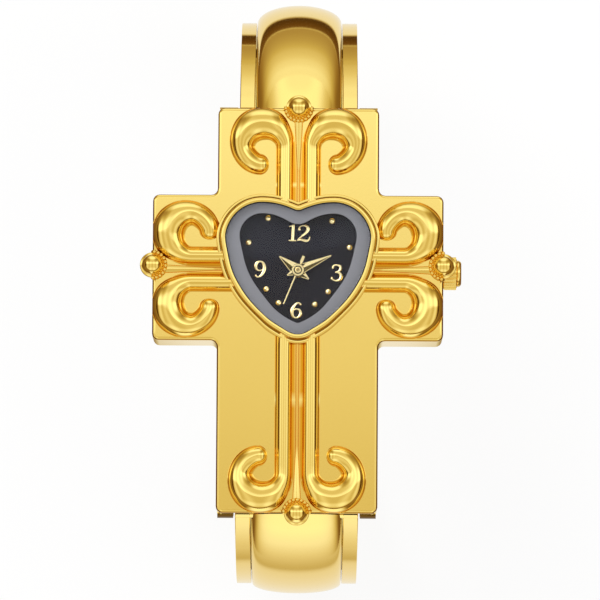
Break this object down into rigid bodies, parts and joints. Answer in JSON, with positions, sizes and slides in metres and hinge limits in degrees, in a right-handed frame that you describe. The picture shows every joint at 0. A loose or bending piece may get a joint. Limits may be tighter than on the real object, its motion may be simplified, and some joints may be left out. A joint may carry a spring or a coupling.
{
  "type": "bracelet watch",
  "caption": "Women's bangle watch: a cross-shaped case with raised scrolls, a heart bezel and black heart dial, on two spring-hinged open bangle arms.",
  "frame": {"origin": "middle of the wrist opening, between the case's back and the arms' tips", "axes": "+Z out of the dial, +Y towards 12 o'clock, +X towards the crown, along the wrist"},
  "size_m": [0.0346, 0.0655, 0.0537],
  "materials": {
    "gold": "polished gold plate",
    "dial_gilt": "polished gilt",
    "crystal": "clear mineral glass",
    "seal": "moulded seal",
    "border": "grey metallised",
    "dial": "black lacquer",
    "steel": "satin",
    "plate": "nickel plate",
    "holder": "moulded",
    "board": "solder mask",
    "coil": "enamelled winding",
    "magnet": "sintered magnet",
    "train": "stamped"
  },
  "bodies": {
    "case": {"case_body": "gold", "upper_scrolls": "gold", "lower_scrolls": "gold", "left_scrolls": "gold", "right_scrolls": "gold", "bead_studs": "gold", "heart_bezel": "gold", "crystal": "crystal", "crystal_gasket": "seal", "dial_ring": "border", "dial": "dial", "dial_numerals": "dial_gilt", "dial_dots": "dial_gilt", "case_back": "steel", "back_gasket": "seal", "back_screws": "steel", "case_tube": "gold", "hinge_pins": "steel", "movement_holder": "holder", "main_plate": "plate", "train_bridge": "plate", "circuit_board": "board", "coil": "coil", "stator": "plate", "quartz_can": "steel", "battery": "steel", "battery_strap": "steel", "setting_lever": "steel", "movement_screws": "steel"},
    "crown_seal": {"crown_gasket": "seal"},
    "crown": {"crown": "gold", "stem": "steel"},
    "rotor": {"rotor": "magnet"},
    "intermediate": {"intermediate_wheel": "train"},
    "seconds": {"seconds_wheel": "train", "second_hand": "dial_gilt"},
    "third": {"third_wheel": "train"},
    "minutes": {"centre_wheel": "train", "minute_hand": "dial_gilt"},
    "minute_works": {"minute_wheel": "train"},
    "hours": {"hour_wheel": "train", "hour_hand": "dial_gilt"},
    "upper_arm": {"upper_band": "gold", "upper_dome": "gold", "upper_end_cap": "gold", "upper_spring": "steel"},
    "lower_arm": {"lower_band": "gold", "lower_dome": "gold", "lower_end_cap": "gold", "lower_spring": "steel"}
  },
  "joints": [
    {"name": "upper_arm_hinge", "type": "hinge", "parent": "case", "child": "upper_arm", "pos_m": [0, 0.0178, 0.024], "axis": [1, 0, 0], "range_deg": [0, 20], "stiffness_Nm_per_rad": 0.02, "springref_deg": -28.65},
    {"name": "lower_arm_hinge", "type": "hinge", "parent": "case", "child": "lower_arm", "pos_m": [0, -0.0242, 0.024], "axis": [-1, 0, 0], "range_deg": [0, 20], "stiffness_Nm_per_rad": 0.02, "springref_deg": -28.65},
    {"name": "crown_pull", "type": "slide", "parent": "case", "child": "crown_seal", "axis": [1, 0, 0], "range_m": [0, 0.0009]},
    {"name": "crown_turn", "type": "hinge", "parent": "crown_seal", "child": "crown", "pos_m": [0.0166, 0.00115, 0.0234], "axis": [1, 0, 0], "continuous": true},
    {"name": "seconds_turn", "type": "hinge", "parent": "case", "child": "seconds", "pos_m": [0, 0.00115, 0.0256], "axis": [0, 0, -1], "continuous": true},
    {"name": "rotor_turn", "type": "hinge", "parent": "case", "child": "rotor", "pos_m": [0.00355, -0.00163, 0.0227], "axis": [0, 0, -1], "continuous": true},
    {"name": "intermediate_turn", "type": "hinge", "parent": "case", "child": "intermediate", "pos_m": [0.00125, -0.00101, 0.0227], "axis": [0, 0, -1], "continuous": true},
    {"name": "third_turn", "type": "hinge", "parent": "case", "child": "third", "pos_m": [0, 0.00353, 0.0227], "axis": [0, 0, -1], "continuous": true},
    {"name": "minutes_turn", "type": "hinge", "parent": "case", "child": "minutes", "pos_m": [0, 0.00115, 0.0256], "axis": [0, 0, -1], "continuous": true},
    {"name": "minute_works_turn", "type": "hinge", "parent": "case", "child": "minute_works", "pos_m": [-0.00204, 0.00115, 0.0243], "axis": [0, 0, -1], "continuous": true},
    {"name": "hours_turn", "type": "hinge", "parent": "case", "child": "hours", "pos_m": [0, 0.00115, 0.0256], "axis": [0, 0, -1], "continuous": true}
  ],
  "couplings": [
    {"joint": "rotor_turn", "follows": "seconds_turn", "ratio": 30},
    {"joint": "intermediate_turn", "follows": "seconds_turn", "ratio": -5},
    {"joint": "third_turn", "follows": "seconds_turn", "ratio": -0.125},
    {"joint": "minutes_turn", "follows": "seconds_turn", "ratio": 0.016667},
    {"joint": "minute_works_turn", "follows": "seconds_turn", "ratio": -0.0055556},
    {"joint": "hours_turn", "follows": "seconds_turn", "ratio": 0.0013889}
  ]
}
